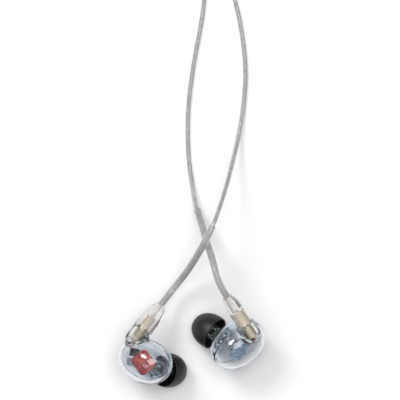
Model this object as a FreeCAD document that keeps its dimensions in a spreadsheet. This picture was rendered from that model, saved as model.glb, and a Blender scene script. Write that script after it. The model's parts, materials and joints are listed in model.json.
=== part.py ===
import FreeCAD, Part
import Sketcher
import math
import os

# A pair of over-ear in-ear monitors with detachable cables, laid on a flat surface.
# Millimetres, +Z up. The origin is on the surface, under the middle of the two earpieces
# with their cable boots. "right" and "left" are the wearer's ears.

Vector = FreeCAD.Vector
Rotation = FreeCAD.Rotation
Placement = FreeCAD.Placement

os.makedirs("parts", exist_ok=True)
doc = FreeCAD.newDocument("in_ear_monitors")
sheet = doc.addObject("Spreadsheet::Sheet", "Sizes")
sheet_rows = {}
nodes = []


# ---------------------------------------------------------------- driving sizes

def size(alias, value):
    """Puts one plain number in the sheet, once, and returns it."""
    if alias not in sheet_rows:
        row = len(sheet_rows) + 1
        sheet.set("A%d" % row, alias)
        sheet.set("B%d" % row, "%g" % value)
        sheet.setAlias("B%d" % row, alias)
        sheet_rows[alias] = value
    return sheet_rows[alias]


def cell(alias):
    return "Sizes." + alias


# Shell, measured from the middle of its seam: x forward, y up, z outward.
size("shell_half_length", 11.3)
size("shell_half_height", 8.4)
size("outer_shell_depth", 8.6)
size("inner_shell_depth", 9.0)
size("shell_wall", 1.1)
size("socket_boss_radius", 3.8)
BOSS_LENGTH = size("socket_boss_length", 4.6)
size("socket_barrel_radius", 2.1)
BARREL_DEPTH = size("socket_barrel_depth", 5.4)
size("socket_wire_hole_radius", 1.2)
WIRE_HOLE_LENGTH = size("socket_wire_hole_length", 2.6)
NECK_LENGTH = size("nozzle_neck_length", 5.6)
size("nozzle_neck_base_radius", 4.5)
size("nozzle_neck_end_radius", 2.9)
NECK_GAP = size("nozzle_neck_to_flange", 2.0)
size("nozzle_tube_radius", 2.1)
NECK_BORE_LENGTH = size("nozzle_neck_bore_length", 8.0)
size("sound_duct_radius", 1.25)
DUCT_LENGTH = size("sound_duct_length", 4.4)

# Cable boot: an oval tapered grip.
BOOT_LENGTH = size("boot_length", 13.4)
BOOT_GAP = size("boot_to_socket_gap", 0.2)
size("boot_core_radius", 2.1)
size("boot_core_length", 6.2)

# Cords.
CORD_RADIUS = size("ear_cord_radius", 0.8)
SLEEVE_RADIUS = size("memory_sleeve_radius", 1.35)
MAIN_RADIUS = size("main_cord_radius", 1.3)
size("slider_cord_clearance", 0.07)
WIRE_RADIUS = size("wire_radius", 0.11)

SOCKET_TILT = 36.0
NOZZLE_TILT = 16.0
NOZZLE_LIFT = 0.12

# The two ear cords lie side by side in the slider and the splitter.
SPLIT_Z = 2.2
LINE_X = 6.45
STRAIGHT_X = {"right": 8.0, "left": 4.9}


def mouth_of(mirror):
    """Centre of the cable socket's mouth in shell coordinates."""
    return Vector(-5.4 * mirror, 10.4, 1.2)


def flange_of(mirror):
    """Centre of the nozzle flange's front face in shell coordinates."""
    return Vector(4.0 * mirror, -1.8, -12.6)


def socket_frame(mirror):
    """Origin at the socket's mouth, +Z out of the socket along the cable boot."""
    return Placement(mouth_of(mirror), Rotation(Vector(1, 0, 0), -90 - SOCKET_TILT))


def nozzle_frame(mirror):
    """Origin at the flange's front face, +Z out along the sound bore."""
    tilt = math.radians(NOZZLE_TILT)
    axis = Vector(math.sin(tilt) * mirror, NOZZLE_LIFT, -math.cos(tilt))
    return Placement(flange_of(mirror), Rotation(Vector(0, 0, 1), axis))


# ---------------------------------------------------------------- building blocks

def bind(thing, sizes):
    for prop, expression in sizes.items():
        thing.setExpression(prop, expression)
    return thing


def keep(thing, label):
    thing.Label = label
    nodes.append(thing)
    return thing


def cylinder(name, radius, height, place):
    """A cylinder whose radius and height are sheet expressions."""
    thing = doc.addObject("Part::Cylinder", name)
    bind(thing, {"Radius": radius, "Height": height})
    thing.Placement = place
    return thing


def cut(name, base, *tools):
    for count, tool in enumerate(tools):
        step = doc.addObject("Part::Cut", "%s_cut%d" % (name, count))
        step.Base = base
        step.Tool = tool
        base = step
    return base


def fuse(name, base, tool):
    joined = doc.addObject("Part::Fuse", name)
    joined.Base = base
    joined.Tool = tool
    return joined


def origin_plane(body, role):
    for feature in body.Origin.OriginFeatures:
        if feature.Role == role:
            return feature


def profile_edges(outline):
    """Pairs up an outline's corners: (start, through or None, end)."""
    corners = [point for point in outline if len(point) == 3]
    edges = []
    for index, corner in enumerate(corners):
        following = corners[(index + 1) % len(corners)]
        between = outline[(outline.index(corner) + 1) % len(outline)]
        edges.append((corner, between if len(between) == 4 else None, following))
    return edges


def pin_point(sketch, profile, point, geometry, end):
    """Holds a sketch point at the radius and height that the sheet gives it."""
    distances = (("DistanceX", -2, "r", point[1]), ("DistanceY", -1, "z", point[2]))
    for kind, axis, letter, value in distances:
        if abs(value) < 1e-9:
            sketch.addConstraint(Sketcher.Constraint("PointOnObject", geometry, end, axis))
            continue
        alias = "%s_%s_%s" % (profile, point[0], letter)
        size(alias, value)
        index = sketch.addConstraint(Sketcher.Constraint(kind, -1, 1, geometry, end, value))
        sketch.renameConstraint(index, alias)
        bound.append((sketch, "Constraints." + alias, cell(alias)))


bound = []


def turned(label, profile, outline, place):
    """A PartDesign body turned about its own Z from an outline of (name, r, z).

    A fourth entry, "arc", marks a point that the arc between its neighbours goes through.
    """
    body = doc.addObject("PartDesign::Body", label)
    sketch = body.newObject("Sketcher::SketchObject", label + "_outline")
    sketch.AttachmentSupport = (origin_plane(body, "XZ_Plane"), [""])
    sketch.MapMode = "FlatFace"
    ends = []
    for start, through, end in profile_edges(outline):
        first, last = Vector(start[1], start[2], 0), Vector(end[1], end[2], 0)
        if through is None:
            number = sketch.addGeometry(Part.LineSegment(first, last), False)
            ends.append((number, 1, 2))
        else:
            middle = Vector(through[1], through[2], 0)
            if (middle - first).cross(last - middle).z > 0:
                number = sketch.addGeometry(Part.ArcOfCircle(first, middle, last), False)
                ends.append((number, 1, 2))
            else:
                number = sketch.addGeometry(Part.ArcOfCircle(last, middle, first), False)
                ends.append((number, 2, 1))
            mark = sketch.addGeometry(Part.Point(middle), True)
            pin_point(sketch, profile, through, mark, 1)
            sketch.addConstraint(Sketcher.Constraint("PointOnObject", mark, 1, number))
    for index, (number, start_end, finish_end) in enumerate(ends):
        following = ends[(index + 1) % len(ends)]
        sketch.addConstraint(
            Sketcher.Constraint("Coincident", number, finish_end, following[0], following[1]))
        pin_point(sketch, profile, profile_edges(outline)[index][0], number, start_end)
    turn = body.newObject("PartDesign::Revolution", label + "_turned")
    turn.Profile = sketch
    turn.ReferenceAxis = (sketch, ["V_Axis"])
    turn.Angle = 360
    body.Placement = place
    return keep(body, label)


def tube_outline(prefix, inner, outer, low, high):
    """The rectangle that turns into a plain tube, or a rod where inner is 0."""
    return [(prefix + "_in_low", inner, low), (prefix + "_out_low", outer, low),
            (prefix + "_out_high", outer, high), (prefix + "_in_high", inner, high)]


def rounded_box(label, alias, dims, place, radius):
    """A block with all its edges rounded, its middle at the placement."""
    box = doc.addObject("Part::Box", label + "_block")
    for prop, letter, value in zip(("Length", "Width", "Height"), ("x", "y", "z"), dims):
        size("%s_%s" % (alias, letter), value)
        box.setExpression(prop, cell("%s_%s" % (alias, letter)))
    doc.recompute()
    rounded = doc.addObject("Part::Fillet", label)
    rounded.Base = box
    rounded.Edges = [(number + 1, radius, radius) for number in range(len(box.Shape.Edges))]
    centre = Placement(Vector(*[-value / 2 for value in dims]), Rotation())
    rounded.Placement = place.multiply(centre)
    return rounded


# ---------------------------------------------------------------- cord paths

def rounded_path(points):
    """Straight runs joined by tangent arcs as large as the runs allow."""
    runs = [points[i + 1] - points[i] for i in range(len(points) - 1)]
    edges = []
    radii = []
    here = points[0]
    for index in range(1, len(points) - 1):
        before, after = runs[index - 1], runs[index]
        half = before.getAngle(after) / 2
        reach = 0.45 * min(before.Length, after.Length)
        incoming = Vector(before).normalize()
        outgoing = Vector(after).normalize()
        radius = reach / math.tan(half)
        start = points[index] - incoming * reach
        finish = points[index] + outgoing * reach
        inward = (outgoing - incoming).normalize()
        middle = points[index] + inward * (radius / math.cos(half) - radius)
        edges.append(Part.LineSegment(here, start).toShape())
        edges.append(Part.Arc(start, middle, finish).toShape())
        radii.append(radius)
        here = finish
    edges.append(Part.LineSegment(here, points[-1]).toShape())
    return Part.Wire(edges), radii


def tube(label, radius, points):
    """A round tube along a rounded path; prints its length and tightest bend."""
    path, radii = rounded_path(points)
    circle = Part.Circle(points[0], points[1] - points[0], radius)
    section = Part.Wire([circle.toShape()])
    solid = path.makePipeShell([section], True, False)
    expected = math.pi * radius ** 2 * path.Length
    print("%s: %.1f mm, tightest bend %.1f mm, volume ratio %.4f, bends %s" % (
        label, path.Length, min(radii), solid.Volume / expected,
        " ".join("%.0f" % bend for bend in radii)))
    return solid, path.Length


def shape_node(label, shape):
    thing = doc.addObject("Part::Feature", label)
    thing.Shape = shape
    return keep(thing, label)


def halfway(first, second):
    return (first + second) * 0.5


def oval_loft(name, alias, ovals, place, straight):
    """A solid through ovals given as (height, wide radius, narrow radius)."""
    sections = []
    for count, (height, wide, narrow) in enumerate(ovals):
        oval = doc.addObject("Part::Ellipse", "%s_oval%d" % (name, count))
        size("%s_wide%d" % (alias, count), wide)
        size("%s_narrow%d" % (alias, count), narrow)
        bind(oval, {"MajorRadius": cell("%s_wide%d" % (alias, count)),
                    "MinorRadius": cell("%s_narrow%d" % (alias, count))})
        oval.Placement = place.multiply(Placement(Vector(0, 0, height), Rotation()))
        sections.append(oval)
    loft = doc.addObject("Part::Loft", name + "_loft")
    loft.Sections = sections
    loft.Solid = True
    loft.Ruled = straight
    return loft


# ---------------------------------------------------------------- the two sides

SIDES = {
    "right": {
        "mirror": 1,
        "turn": Rotation(-23.4, -25.4, 5.6),
        "mouth": Vector(-19.16, 4.11, 17.6),
        "boot_roll": 0,
    },
    "left": {
        "mirror": -1,
        "turn": Rotation(36.0, 9.0, 54.0),
        "mouth": Vector(20.44, 6.81, 23.67),
        "boot_roll": 90,
    },
}
for side in SIDES.values():
    offset = side["turn"].multVec(mouth_of(side["mirror"]))
    side["unit"] = Placement(side["mouth"] - offset, side["turn"])
    side["socket"] = side["unit"].multiply(socket_frame(side["mirror"]))
    side["nozzle"] = side["unit"].multiply(nozzle_frame(side["mirror"]))


def half_dome(name, depth, shrink, outward):
    """Half of the shell's egg, outside (shrink "0") or its cavity."""
    dome = doc.addObject("Part::Ellipsoid", name)
    bind(dome, {
        "Radius1": "%s - %s" % (cell(depth), shrink),
        "Radius2": "%s - %s" % (cell("shell_half_length"), shrink),
        "Radius3": "%s - %s" % (cell("shell_half_height"), shrink),
    })
    dome.Angle1 = 0 if outward else -90
    dome.Angle2 = 90 if outward else 0
    return dome


def shells(name, side):
    mirror = side["mirror"]
    socket = socket_frame(mirror)
    nozzle = nozzle_frame(mirror)
    wall = cell("shell_wall")
    down = Placement(Vector(0, 0, 0), Rotation(Vector(1, 0, 0), 180))

    # Outer half: dome, socket boss with a round end, cavity and barrel hole.
    boss = cylinder(name + "_boss", cell("socket_boss_radius"), cell("socket_boss_length"),
                    socket.multiply(down))
    boss_end = doc.addObject("Part::Sphere", name + "_boss_end")
    bind(boss_end, {"Radius": cell("socket_boss_radius")})
    boss_end.Placement = socket.multiply(Placement(Vector(0, 0, -BOSS_LENGTH), Rotation()))
    dome = half_dome(name + "_dome", "outer_shell_depth", "0", True)
    outer = fuse(name + "_outer_dome", dome, boss)
    outer = fuse(name + "_outer_whole", outer, boss_end)
    barrel_hole = cylinder(name + "_barrel_hole", cell("socket_barrel_radius"),
                           cell("socket_barrel_depth") + " + 1", Placement(
                               socket.multVec(Vector(0, 0, -BARREL_DEPTH)), socket.Rotation))
    wire_hole = cylinder(name + "_wire_hole", cell("socket_wire_hole_radius"),
                         cell("socket_wire_hole_length"), Placement(socket.multVec(
                             Vector(0, 0, 0.5 - BARREL_DEPTH - WIRE_HOLE_LENGTH)), socket.Rotation))
    outer = cut(name + "_outer", outer,
                half_dome(name + "_seam_side", "inner_shell_depth", "0", False),
                half_dome(name + "_cavity_out", "outer_shell_depth", wall, True),
                barrel_hole, wire_hole)
    outer.Placement = side["unit"]
    keep(outer, name + "_outer_shell")

    # Inner half: dome with the neck that carries the nozzle.
    neck = doc.addObject("Part::Cone", name + "_neck")
    bind(neck, {"Radius1": cell("nozzle_neck_base_radius"),
                "Radius2": cell("nozzle_neck_end_radius"),
                "Height": cell("nozzle_neck_length")})
    neck.Placement = nozzle.multiply(Placement(Vector(0, 0, -NECK_GAP - NECK_LENGTH), Rotation()))
    inner = fuse(name + "_inner_whole",
                 half_dome(name + "_inner_dome", "inner_shell_depth", "0", False), neck)
    bore = cylinder(name + "_neck_bore", cell("nozzle_tube_radius"),
                    cell("nozzle_neck_bore_length"), Placement(
                        nozzle.multVec(Vector(0, 0, -0.2 - NECK_BORE_LENGTH)), nozzle.Rotation))
    inner = cut(name + "_inner", inner,
                half_dome(name + "_cavity_in", "inner_shell_depth", wall, False), bore)
    inner.Placement = side["unit"]
    keep(inner, name + "_inner_shell")


NOZZLE = [
    ("back_in", 1.2, -5.9), ("back_out", 2.1, -5.9), ("flange_back_in", 2.1, -1.1),
    ("flange_back", 2.7, -1.1), ("flange_front", 2.7, 0.0), ("stem_foot", 2.3, 0.0),
    ("stem_end", 2.3, 5.2), ("mouth", 1.2, 5.2),
]
EAR_TIP = [
    ("bore_foot", 2.36, 0.15), ("core_foot", 3.1, 0.15), ("core_top", 3.1, 5.0),
    ("skirt_hollow", 5.0, 4.6, "arc"), ("skirt_inside", 5.9, 1.2), ("rim_in", 6.1, -0.9),
    ("rim", 6.35, -1.15, "arc"), ("rim_out", 6.6, -0.9), ("widest", 6.7, 1.2),
    ("crown", 5.5, 5.6, "arc"), ("shoulder", 3.3, 8.0), ("nose", 2.55, 8.3, "arc"),
    ("mouth_edge", 1.95, 7.9), ("mouth_foot", 1.95, 5.6), ("bore_top", 2.36, 5.6),
]
BARREL = [
    ("floor_in", 1.66, -5.4), ("floor_out", 2.1, -5.4),
    ("rim_out", 2.1, 0.0), ("rim_in", 1.66, 0.0),
]
CONTACT = [
    ("back", 0.0, -6.0), ("back_out", 0.6, -6.0), ("front_out", 0.6, -2.6),
    ("front_in", 0.3, -2.6), ("hole_foot", 0.3, -4.4), ("hole_axis", 0.0, -4.4),
]


def earpiece(name, side):
    mirror = side["mirror"]
    unit = side["unit"]
    nozzle = side["nozzle"]
    socket = side["socket"]
    shells(name, side)
    turned(name + "_nozzle", "nozzle", NOZZLE, nozzle)
    damper = tube_outline("damper", 0.35, 1.2, -3.4, -1.0)
    turned(name + "_nozzle_damper", "damper", damper, nozzle)
    turned(name + "_nozzle_mesh", "mesh", tube_outline("mesh", 0.0, 1.2, 4.7, 4.95), nozzle)
    turned(name + "_ear_tip", "tip", EAR_TIP, nozzle)

    turned(name + "_socket_barrel", "barrel", BARREL, socket)
    turned(name + "_socket_insulator", "seat", tube_outline("seat", 0.6, 1.66, -5.2, -3.7), socket)
    turned(name + "_socket_contact", "contact", CONTACT, socket)

    # Drivers and board, each (label, size, middle in shell coordinates, turn, edge radius).
    for label, dims, middle, angle, radius in (
            ("woofer_driver", (6.6, 3.2, 3.6), (-3.2, -2.5, -0.1), 8, 0.3),
            ("tweeter_driver", (5.0, 2.7, 2.8), (1.9, 1.4, -0.3), -20, 0.25),
            ("crossover_board", (4.2, 3.0, 0.5), (-5.0, 1.3, 0.6), 12, 0.15)):
        here = Placement(Vector(middle[0] * mirror, middle[1], middle[2]),
                         Rotation(angle * mirror, 0, 0))
        block = rounded_box("%s_%s" % (name, label), label, dims, unit.multiply(here), radius)
        keep(block, "%s_%s" % (name, label))

    # Carrier plate over the drivers, with its sound port.
    carrier_place = unit.multiply(Placement(Vector(1.0 * mirror, -0.5, 3.2),
                                            Rotation(-28 * mirror, 0, 0)))
    plate = rounded_box(name + "_carrier_plate", "carrier", (7.6, 7.0, 2.4), carrier_place, 0.6)
    size("carrier_port_radius", 0.6)
    size("carrier_port_length", 6.0)
    port = cylinder(name + "_carrier_port", cell("carrier_port_radius"),
                    cell("carrier_port_length"), carrier_place.multiply(
                        Placement(Vector(-1.9 * mirror, 1.5, -3), Rotation())))
    keep(cut(name + "_carrier", plate, port), name + "_driver_carrier")

    duct = cylinder(name + "_sound_duct", cell("sound_duct_radius"), cell("sound_duct_length"),
                    nozzle.multiply(Placement(Vector(0, 0, -6.0 - DUCT_LENGTH), Rotation())))
    keep(duct, name + "_sound_duct")

    # Two insulated wires from the socket's contact down to the board.
    strands = []
    for shift in (-0.35, 0.35):
        start = socket.multVec(Vector(shift, 0, -6.05))
        bend = socket.multVec(Vector(shift, 0, -7.2))
        drop = unit.multVec(Vector((-5.6 + 1.4 * shift) * mirror, 2.5, 3.5))
        finish = unit.multVec(Vector((-5.3 + 2.2 * shift) * mirror, 1.5, 1.0))
        strands.append(tube(name + " wire", WIRE_RADIUS, [start, bend, drop, finish])[0])
    shape_node(name + "_wiring", Part.makeCompound(strands))


PLUG_SHELL = [
    ("nose_in", 1.0, -3.2), ("nose", 1.5, -3.2), ("groove_low", 1.5, -2.0), ("groove_floor", 1.3, -2.0),
    ("groove_roof", 1.3, -1.4), ("groove_high", 1.5, -1.4), ("collar_foot", 1.5, 0.25),
    ("collar", 2.1, 0.25), ("back", 2.1, 6.0), ("back_in", 1.0, 6.0),
]
SNAP_RING = tube_outline("ring", 1.36, 1.6, -1.94, -1.46)
BOOT = [(BOOT_GAP, 4.1, 3.05), (4.5, 4.15, 3.1), (8.6, 3.75, 2.85), (11.6, 3.0, 2.35),
        (BOOT_LENGTH, 1.75, 1.65)]


def cable_end(name, side):
    """Boot and plug on the cable's side of the socket."""
    roll = Rotation(Vector(0, 0, 1), side["boot_roll"])
    frame = side["socket"].multiply(Placement(Vector(0, 0, 0), roll))
    turned(name + "_plug_shell", "plug", PLUG_SHELL, side["socket"])
    bead = tube_outline("bead", 0.26, 1.0, -2.2, 5.2)
    turned(name + "_plug_insulator", "bead", bead, side["socket"])
    pin = tube_outline("pin", 0.0, 0.26, -4.0, 5.8)
    turned(name + "_plug_pin", "pin", pin, side["socket"])
    turned(name + "_snap_ring", "ring", SNAP_RING, side["socket"])

    body = oval_loft(name + "_boot", "boot", BOOT, Placement(), False)
    core = cylinder(name + "_boot_core", cell("boot_core_radius"), cell("boot_core_length"),
                    Placement())
    boot = cut(name + "_boot_hollow", body, core)
    boot.Placement = frame
    keep(boot, name + "_boot")


# ---------------------------------------------------------------- cord routes

# Each ear cord leaves its boot inside a formable sleeve, comes down to the surface and
# runs up in a long bow; the right one crosses over the left one.
SLEEVE_ROUTE = {
    "right": [Vector(-5.7, 21.5, 9.4), Vector(-2.7, 25.3, 12.2), Vector(-0.1, 29.1, 17.0),
              Vector(2.1, 32.7, 22.0), Vector(4.3, 36.5, 25.6), Vector(6.9, 41.5, 27.0)],
    "left": [Vector(9.1, 27.3, 29.0), Vector(7.9, 32.1, 26.2), Vector(6.7, 35.7, 21.6),
             Vector(5.5, 39.5, 16.0), Vector(4.4, 43.5, 11.0), Vector(3.2, 47.3, 7.2)],
}
FIRST_RUN = {"right": 5.4, "left": 5.4}
CORD_ROUTE = {
    "right": [Vector(9.5, 47.5, 26.2), Vector(11.7, 54.0, 21.4), Vector(13.7, 60.4, 14.6),
              Vector(15.9, 68.6, 7.6), Vector(18.2, 78.0, 2.6), Vector(20.2, 89.5, 0.8),
              Vector(21.4, 105.0, 0.8), Vector(19.4, 122.0, 0.8), Vector(15.8, 137.0, 0.8),
              Vector(11.0, 149.0, 0.8), Vector(8.2, 159.0, 0.8)],
    "left": [Vector(1.4, 53.1, 3.4), Vector(0.1, 61.2, 0.9), Vector(-1.5, 73.4, 0.8),
             Vector(-1.5, 90.2, 0.8), Vector(0.8, 108.0, 0.8), Vector(4.0, 124.0, 0.8),
             Vector(5.2, 135.0, 0.8)],
}
LEAD_ROUTE = {
    "right": [Vector(7.8, 175.4, 2.0), Vector(8.0, 181.9, 2.2)],
    "left": [Vector(4.6, 154.4, 1.7), Vector(4.5, 168.4, 1.6), Vector(4.9, 181.4, 2.2)],
}
SPLITTER_START = 211.4
COIL_TURN = 9.6
COIL_CENTRE = {"right": Vector(STRAIGHT_X["right"] + COIL_TURN, 168.4, 0),
               "left": Vector(STRAIGHT_X["left"] - COIL_TURN, 144.4, 0)}


def ring_solid(label, inner, outer, height, centre):
    size(label + "_inner_radius", inner)
    size(label + "_outer_radius", outer)
    size(label + "_height", height)
    place = Placement(centre, Rotation())
    rim = cylinder(label + "_rim", cell(label + "_outer_radius"), cell(label + "_height"), place)
    hole = cylinder(label + "_hole", cell(label + "_inner_radius"), cell(label + "_height"), place)
    keep(cut(label + "_ring", rim, hole), label)


def ear_cord(name, side):
    exit_point = side["socket"].multVec(Vector(0, 0, BOOT_LENGTH))
    straight_out = side["socket"].multVec(Vector(0, 0, BOOT_LENGTH + FIRST_RUN[name]))
    sleeve_points = [exit_point, straight_out] + SLEEVE_ROUTE[name]
    cord_points = list(CORD_ROUTE[name])
    joint = halfway(sleeve_points[-1], cord_points[0])
    solid, sleeve_length = tube(name + " sleeve", SLEEVE_RADIUS, sleeve_points + [joint])
    shape_node(name + "_memory_sleeve", solid)
    centre = COIL_CENTRE[name]
    entry = Vector(STRAIGHT_X[name], centre.y, CORD_RADIUS)
    cord_points = [joint] + cord_points + [entry]
    first, first_length = tube(name + " cord", CORD_RADIUS, cord_points)
    leave = Vector(STRAIGHT_X[name], centre.y, 3 * CORD_RADIUS)
    into_splitter = Vector(STRAIGHT_X[name], SPLITTER_START, SPLIT_Z)
    lead_points = [leave] + LEAD_ROUTE[name] + [into_splitter]
    second, second_length = tube(name + " lead", CORD_RADIUS, lead_points)
    shape_node(name + "_ear_cord", Part.makeCompound([first, second]))
    ring_solid(name + "_cord_coil", COIL_TURN - 3 * CORD_RADIUS, COIL_TURN + CORD_RADIUS,
               4 * CORD_RADIUS, centre)
    outside = sleeve_length + first_length + second_length
    print("%s ear cord outside its coil: %.1f mm" % (name, outside))


for name, side in SIDES.items():
    earpiece(name, side)
    cable_end(name, side)
    ear_cord(name, side)

# Chin slider: an oval bead on the two ear cords.
SLIDER_Y = 183.4
SLIDER = [(0, 3.1, 1.7), (1.6, 3.6, 2.15), (7.4, 3.6, 2.15), (9.0, 3.1, 1.7)]
upright = Rotation(Vector(1, 0, 0), -90)
slider_place = Placement(Vector(LINE_X, SLIDER_Y, SPLIT_Z), upright)
slider_body = oval_loft("slider", "slider", SLIDER, slider_place, True)
size("slider_channel_length", 12.0)
channels = [cylinder("slider_channel_" + name,
                     cell("ear_cord_radius") + " + " + cell("slider_cord_clearance"),
                     cell("slider_channel_length"),
                     Placement(Vector(STRAIGHT_X[name], SLIDER_Y - 1, SPLIT_Z), upright))
            for name in SIDES]
keep(cut("slider", slider_body, *channels), "chin_slider")

# Splitter: an oval housing where the two ear cords join the main cord.
SPLITTER_LENGTH = 13.0
SPLITTER = [(0, 3.3, 1.8), (2.0, 3.8, 2.05), (9.0, 3.4, 2.05), (SPLITTER_LENGTH, 2.3, 1.9)]
splitter_place = Placement(Vector(LINE_X, SPLITTER_START, SPLIT_Z), upright)
keep(oval_loft("splitter", "splitter", SPLITTER, splitter_place, False), "splitter")

SPLITTER_END = SPLITTER_START + SPLITTER_LENGTH
RELIEF = [("foot_axis", 0.0, 0.0), ("foot", 1.85, 0.0), ("step", 1.75, 4.0),
          ("end", 1.4, 8.0), ("end_axis", 0.0, 8.0)]
along_y = Rotation(Vector(0, 0, 1), Vector(0, 1, 0))
turned("splitter_relief", "splitter_relief", RELIEF,
       Placement(Vector(LINE_X, SPLITTER_END, SPLIT_Z), along_y))

# Main cord: into a neat coil and out of its top to the plug, which lies beside it.
MAIN_TURN = 17.1
MAIN_CENTRE = Vector(LINE_X - MAIN_TURN, 259.4, 0)
PLUG_X = 21.0
PLUG_Z = 4.1
PLUG_START = 271.5
main_in = [Vector(LINE_X, SPLITTER_END + 8, SPLIT_Z), Vector(LINE_X, SPLITTER_END + 14, SPLIT_Z),
           Vector(LINE_X + 0.3, SPLITTER_END + 24, MAIN_RADIUS), Vector(LINE_X, MAIN_CENTRE.y, MAIN_RADIUS)]
main_out = [Vector(MAIN_CENTRE.x, MAIN_CENTRE.y - MAIN_TURN, 7 * MAIN_RADIUS),
            Vector(0.5, 241.8, 9.2), Vector(9.4, 243.6, 8.2), Vector(16.0, 249.0, 6.4),
            Vector(20.0, 257.0, 4.8), Vector(PLUG_X, PLUG_START - 7, PLUG_Z),
            Vector(PLUG_X, PLUG_START, PLUG_Z)]
first, in_length = tube("main in", MAIN_RADIUS, main_in)
second, out_length = tube("main out", MAIN_RADIUS, main_out)
shape_node("main_cord", Part.makeCompound([first, second]))
ring_solid("main_cord_coil", MAIN_TURN - 5 * MAIN_RADIUS, MAIN_TURN + MAIN_RADIUS,
           8 * MAIN_RADIUS, MAIN_CENTRE)
print("main cord outside its coil: %.1f mm" % (in_length + out_length))

# Stereo plug, 3.5 mm, pointing away from the earpieces.
plug_place = Placement(Vector(PLUG_X, PLUG_START, PLUG_Z), along_y)
PLUG_RELIEF = [("foot_axis", 0.0, 0.0), ("foot", 1.6, 0.0), ("end", 2.4, 9.0), ("end_axis", 0.0, 9.0)]
PLUG_HOUSING = [("back_axis", 0.0, 9.0), ("back", 3.2, 9.0), ("shoulder", 4.0, 11.0),
                ("front", 4.0, 25.0), ("lip", 3.4, 26.5), ("lip_axis", 0.0, 26.5)]
PLUG_RADIUS = size("plug_radius", 1.75)
PLUG_BAND = size("plug_band_length", 0.6)
SLEEVE_CONTACT = tube_outline("sleeve_contact", 0.0, PLUG_RADIUS, 26.5, 34.5)
RING_CONTACT = tube_outline("ring_contact", 0.0, PLUG_RADIUS, 34.5 + PLUG_BAND, 37.0)
TIP_CONTACT = [("back_axis", 0.0, 37.0 + PLUG_BAND), ("back", PLUG_RADIUS, 37.0 + PLUG_BAND),
               ("waist_start", PLUG_RADIUS, 38.2), ("waist", 1.15, 38.7),
               ("bulb", PLUG_RADIUS, 39.7), ("nose", 0.6, 41.0), ("nose_axis", 0.0, 41.0)]
turned("plug_relief", "plug_relief", PLUG_RELIEF, plug_place)
turned("plug_housing", "plug_housing", PLUG_HOUSING, plug_place)
turned("plug_sleeve_contact", "sleeve_contact", SLEEVE_CONTACT, plug_place)
turned("plug_ring_contact", "ring_contact", RING_CONTACT, plug_place)
turned("plug_tip_contact", "tip_contact", TIP_CONTACT, plug_place)
bands = [cylinder("plug_band%d" % count, cell("plug_radius"), cell("plug_band_length"),
                  plug_place.multiply(Placement(Vector(0, 0, start), Rotation())))
         for count, start in enumerate((34.5, 37.0))]
band_group = doc.addObject("Part::Compound", "plug_bands")
band_group.Links = bands
keep(band_group, "plug_insulators")

# ---------------------------------------------------------------- check and write

doc.recompute()
for thing, path, expression in bound:
    thing.setExpression(path, expression)
doc.recompute()
for thing in doc.Objects:
    for word in ("Invalid", "Error"):
        if word in thing.State:
            raise RuntimeError("%s is %s" % (thing.Label, thing.State))
for node in nodes:
    if node.Shape.isNull() or not node.Shape.isValid():
        raise RuntimeError("%s has no valid shape" % node.Label)
    if not node.Shape.Solids:
        raise RuntimeError("%s has no solid" % node.Label)
for node in nodes:
    node.Shape.exportStep("parts/%s.step" % node.Label)
print("%d nodes" % len(nodes))
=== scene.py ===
import json
import math
import bmesh
import bpy
import numpy as np
from mathutils import Matrix, Vector


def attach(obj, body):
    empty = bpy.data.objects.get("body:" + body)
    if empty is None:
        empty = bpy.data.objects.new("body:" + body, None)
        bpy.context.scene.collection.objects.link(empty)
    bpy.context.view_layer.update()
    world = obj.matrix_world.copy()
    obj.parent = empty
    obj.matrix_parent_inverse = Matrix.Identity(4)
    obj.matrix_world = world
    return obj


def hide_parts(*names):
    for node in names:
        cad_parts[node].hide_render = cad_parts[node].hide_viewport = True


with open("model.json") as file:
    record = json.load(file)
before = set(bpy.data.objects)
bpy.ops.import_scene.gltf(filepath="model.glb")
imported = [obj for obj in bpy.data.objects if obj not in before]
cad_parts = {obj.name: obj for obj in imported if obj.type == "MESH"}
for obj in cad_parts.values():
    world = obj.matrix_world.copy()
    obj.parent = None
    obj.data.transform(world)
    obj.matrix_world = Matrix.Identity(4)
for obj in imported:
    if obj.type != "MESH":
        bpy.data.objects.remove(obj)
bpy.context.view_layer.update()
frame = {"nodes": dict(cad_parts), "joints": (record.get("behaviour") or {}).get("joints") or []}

# Lengths below are in millimetres; MM turns them into the frame's metres.
MM = 0.001
nodes = frame["nodes"]
joints = {joint["name"]: joint for joint in frame["joints"]}

# Shell sizes, in shell coordinates: x forward, y up, z outward, from the seam's middle.
SHELL_X, SHELL_Y = 11.3, 8.4
OUTER_DEPTH, INNER_DEPTH = 8.6, 9.0
WALL = 1.1
# The two halves are welded: each reaches this little into the other, so light passes the seam.
WELD = 0.03
BOSS_RADIUS, BOSS_LENGTH = 3.8, 4.6
BARREL_RADIUS, BARREL_DEPTH = 2.1, 5.4
WIRE_HOLE_RADIUS, WIRE_HOLE_END = 1.2, 7.5
NECK_BASE, NECK_END, NECK_LENGTH, NECK_GAP = 4.5, 2.9, 5.6, 2.0
TUBE_RADIUS = 2.1
SOCKET_TILT, NOZZLE_TILT = math.radians(36), math.radians(16)
NOZZLE_LIFT = 0.12
BOOT_LENGTH = 13.4
CORD_RADIUS, SLEEVE_RADIUS, MAIN_RADIUS = 0.8, 1.35, 1.3
SHELL_POWER = 2.15


# ---------------------------------------------------------------- frames of the two sides

def unit(vector):
    vector = np.array(vector, float)
    return vector / np.linalg.norm(vector)


def basis(first, second):
    """Columns: first, and two directions square to it that second settles."""
    first = unit(first)
    side = unit(np.cross(first, second))
    return np.column_stack([first, side, np.cross(first, side)])


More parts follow.
